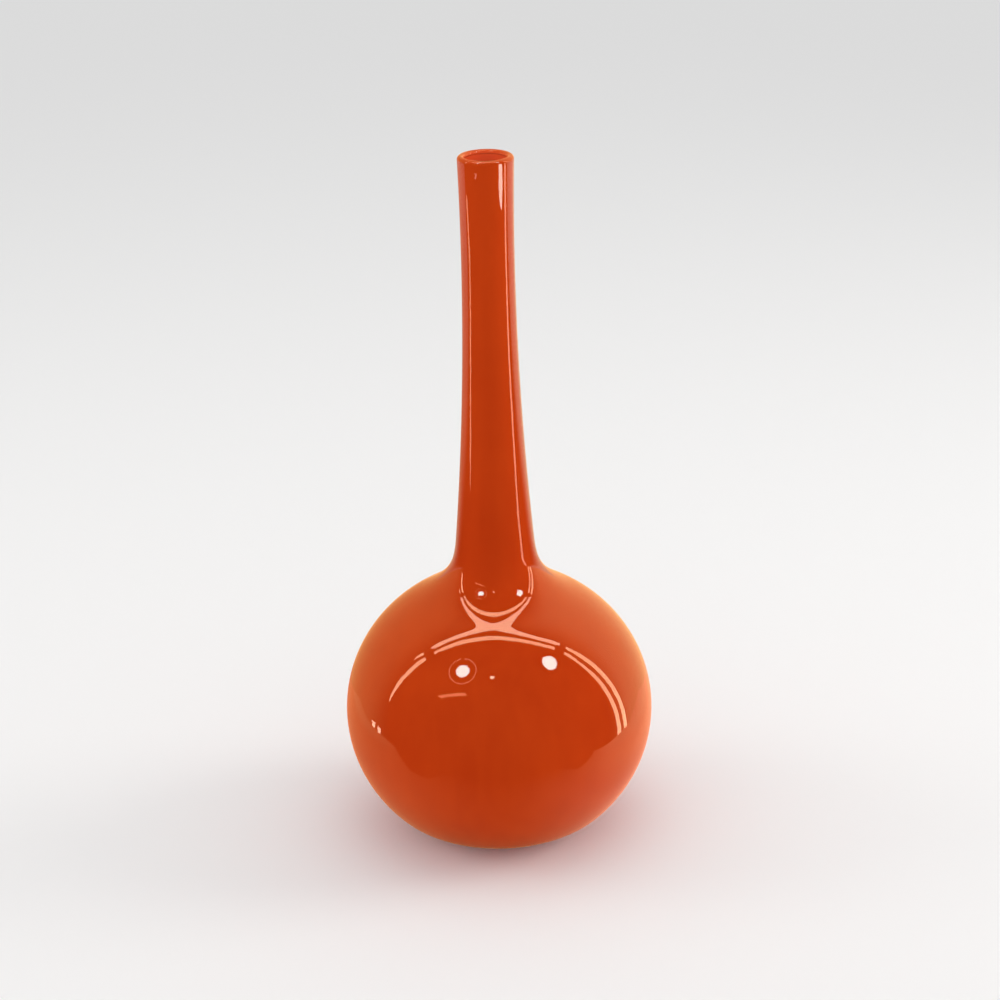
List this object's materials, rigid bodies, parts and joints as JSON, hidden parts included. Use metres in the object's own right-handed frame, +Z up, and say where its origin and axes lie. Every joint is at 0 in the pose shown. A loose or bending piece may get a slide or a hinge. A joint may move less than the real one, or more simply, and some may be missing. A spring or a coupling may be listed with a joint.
{
  "type": "art glass vase",
  "caption": "Long-necked blown glass vase with a squashed globe body, opaque orange under a clear casing, to stand on a table and hold a stem of flowers.",
  "frame": {"origin": "middle of the underside, on the plane that the vase stands on", "axes": "+Z up along the vase's own axis, towards the lip; the vase is round, so X and Y are any pair across it"},
  "size_m": [0.1515, 0.1514, 0.34],
  "materials": {
    "clear_gather": "clear colourless soda glass, fire polished and glossy, thicker towards the foot",
    "orange_glass": "opaque deep orange glass with faint streaks drawn along the neck",
    "clear_casing": "clear colourless glass with a very high fire polish, ground and lightly worn under the foot"
  },
  "bodies": {
    "root": {"inner_gather": "clear_gather", "orange_layer": "orange_glass", "clear_casing": "clear_casing"}
  },
  "joints": []
}
